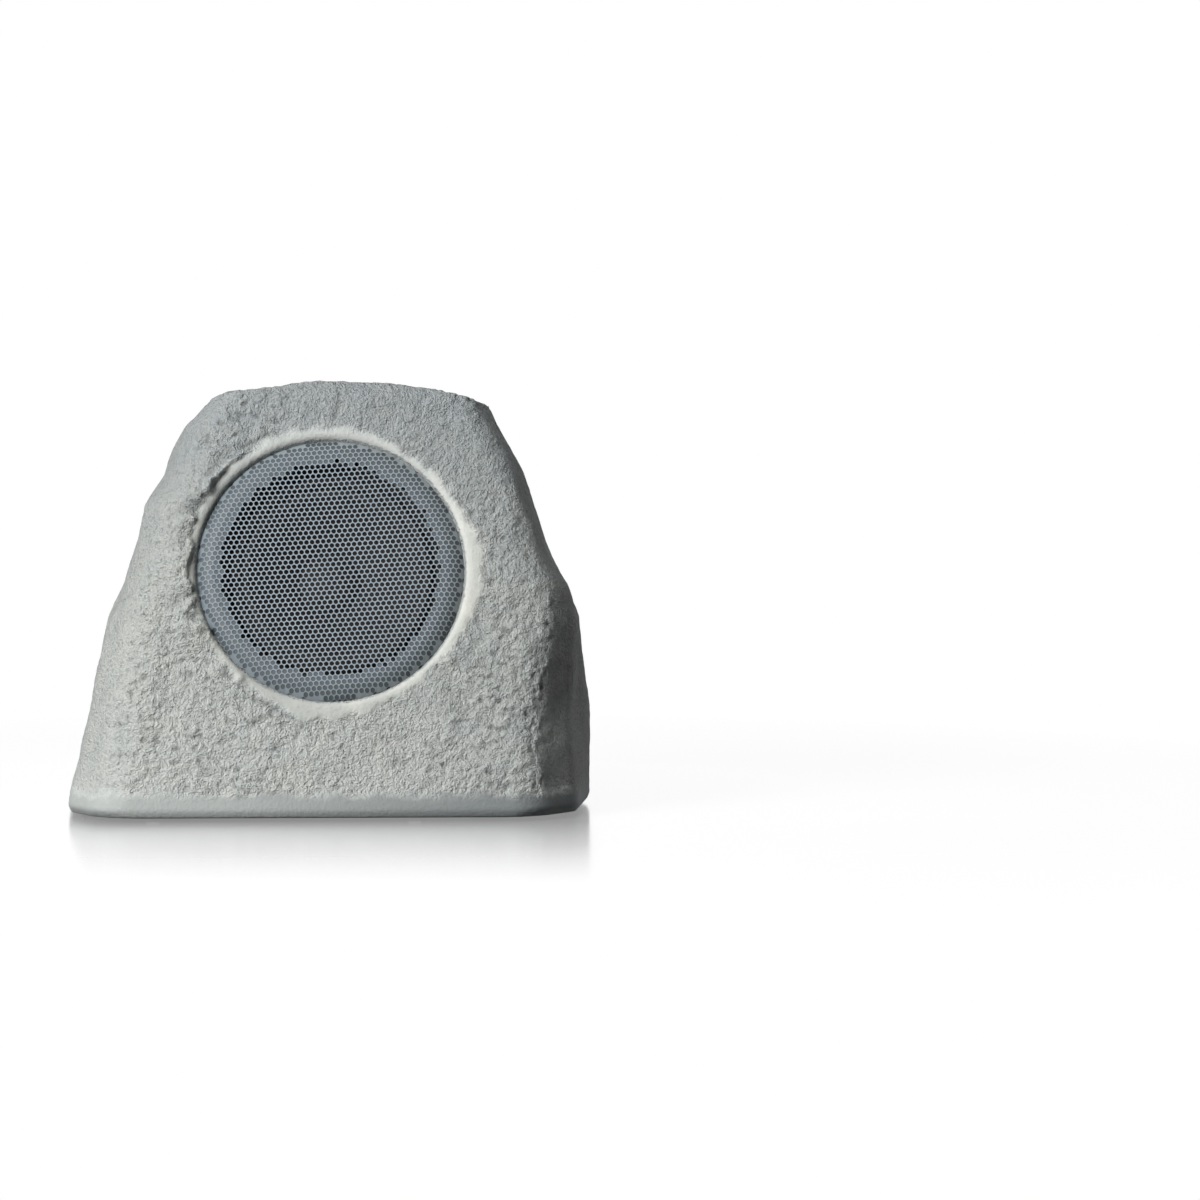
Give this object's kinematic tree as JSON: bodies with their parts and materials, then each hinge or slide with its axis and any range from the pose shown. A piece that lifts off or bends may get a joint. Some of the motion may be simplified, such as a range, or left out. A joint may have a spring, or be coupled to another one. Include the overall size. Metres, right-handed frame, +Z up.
{
  "type": "rock shaped garden speaker",
  "caption": "Hollow moulded rock with a leaning front face, a round perforated grille over a full-range drive unit, a screwed base plate on feet and a cable gland in the back.",
  "frame": {"origin": "on the ground under the middle of the rock's base", "axes": "+Z up, +X to the right as seen from the front, the grille faces -Y"},
  "size_m": [0.2886, 0.262, 0.2347],
  "materials": {
    "stone_resin": "cast in a rock mould, gritty and pitted, painted grey stone",
    "grille_steel": "perforated sheet, blue-grey paint with stone paint sprayed over its rim",
    "basket_steel": "pressed sheet, black paint",
    "plated_steel": "zinc plated",
    "ferrite": "sintered, matt",
    "soft_rubber": "moulded, matt",
    "foam": "cut foam sheet",
    "cone_paper": "pressed pulp, coated",
    "spider_cloth": "resin treated cotton",
    "former_foil": "bare foil",
    "copper_wire": "enamelled copper winding",
    "tin_brass": "stamped, tinned",
    "phenolic": "punched sheet",
    "wire_red": "extruded insulation",
    "wire_black": "extruded insulation",
    "base_plastic": "moulded, fine spark texture",
    "gland_nylon": "moulded",
    "block_nylon": "moulded, natural colour"
  },
  "bodies": {
    "enclosure": {"rock_shell": "stone_resin", "grille": "grille_steel", "driver_gasket": "foam", "driver_basket": "basket_steel", "driver_screws": "plated_steel", "surround": "soft_rubber", "spider": "spider_cloth", "top_plate": "plated_steel", "magnet": "ferrite", "pole_yoke": "plated_steel", "terminal_strip": "phenolic", "terminal_tags": "tin_brass", "lead_positive": "wire_red", "lead_negative": "wire_black", "base_plate": "base_plastic", "base_gasket": "foam", "base_screws": "plated_steel", "rubber_feet": "soft_rubber", "gland_body": "gland_nylon", "gland_seal": "soft_rubber", "gland_nut": "gland_nylon", "gland_locknut": "gland_nylon", "terminal_block": "block_nylon", "clamp_screws": "tin_brass", "block_screw": "plated_steel"},
    "diaphragm": {"cone": "cone_paper", "dust_cap": "cone_paper", "voice_coil_former": "former_foil", "voice_coil": "copper_wire"}
  },
  "joints": [
    {"name": "cone_travel", "type": "slide", "parent": "enclosure", "child": "diaphragm", "axis": [0, -0.9613, 0.2756], "range_m": [-0.003, 0.003], "stiffness_N_per_m": 1400, "deforming": ["surround", "spider"]}
  ]
}
